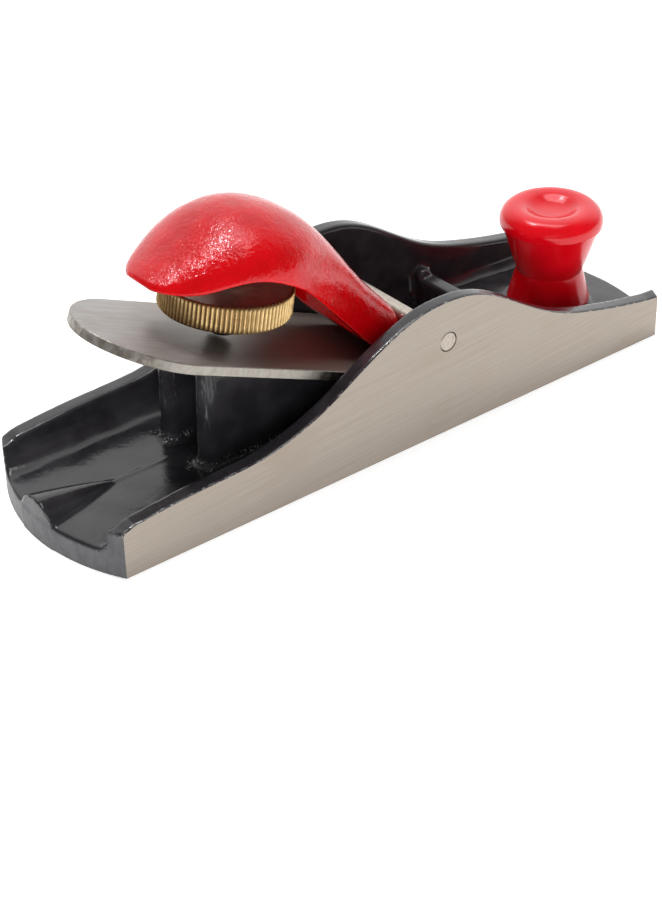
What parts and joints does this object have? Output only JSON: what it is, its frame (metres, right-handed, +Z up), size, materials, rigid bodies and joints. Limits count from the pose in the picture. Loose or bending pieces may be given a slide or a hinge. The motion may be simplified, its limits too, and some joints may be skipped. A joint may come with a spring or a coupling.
{
  "type": "block plane",
  "caption": "Small hand plane with a humped cast body, cross pin, flat iron, hollow lever cap clamped by a knurled thumb wheel, and a turned front knob.",
  "frame": {"origin": "middle of the sole, on the sole's plane", "axes": "+X points to the toe along the plane's length, +Y across it, +Z up from the sole"},
  "size_m": [0.178, 0.051, 0.065],
  "materials": {
    "black_enamel_casting": "black enamel, gloss, over cast iron",
    "ground_cast_iron": "ground, bare cheeks and sole",
    "ground_steel": "ground",
    "tool_steel": "fine ground",
    "red_enamel": "gloss enamel on a casting",
    "brass": "turned and knurled",
    "dark_steel": "oiled black",
    "red_plastic": "glossy moulded"
  },
  "bodies": {
    "plane": {"plane_body": "black_enamel_casting", "cross_pin": "ground_steel", "front_knob": "red_plastic", "knob_stud": "dark_steel"},
    "iron": {"cutting_iron": "tool_steel"},
    "cap": {"lever_cap": "red_enamel"},
    "screw": {"wheel_screw": "dark_steel"},
    "wheel": {"thumb_wheel": "brass"}
  },
  "joints": [
    {"name": "iron_slide", "type": "slide", "parent": "plane", "child": "iron", "axis": [0.9191, 0, -0.3939], "range_m": [-0.012, 0.0012]},
    {"name": "cap_unhook", "type": "slide", "parent": "plane", "child": "cap", "axis": [-0.9191, 0, 0.3939], "range_m": [0, 0.024]},
    {"name": "screw_travel", "type": "slide", "parent": "cap", "child": "screw", "axis": [0.1736, 0, 0.9848], "range_m": [0, 0.0035]},
    {"name": "wheel_turn", "type": "hinge", "parent": "screw", "child": "wheel", "pos_m": [-0.0352, 0, 0.0397], "axis": [0.1736, 0, 0.9848], "range_deg": [0, 1265]}
  ],
  "couplings": [
    {"joint": "wheel_turn", "follows": "screw_travel", "rad_per_m": 6283.2}
  ]
}
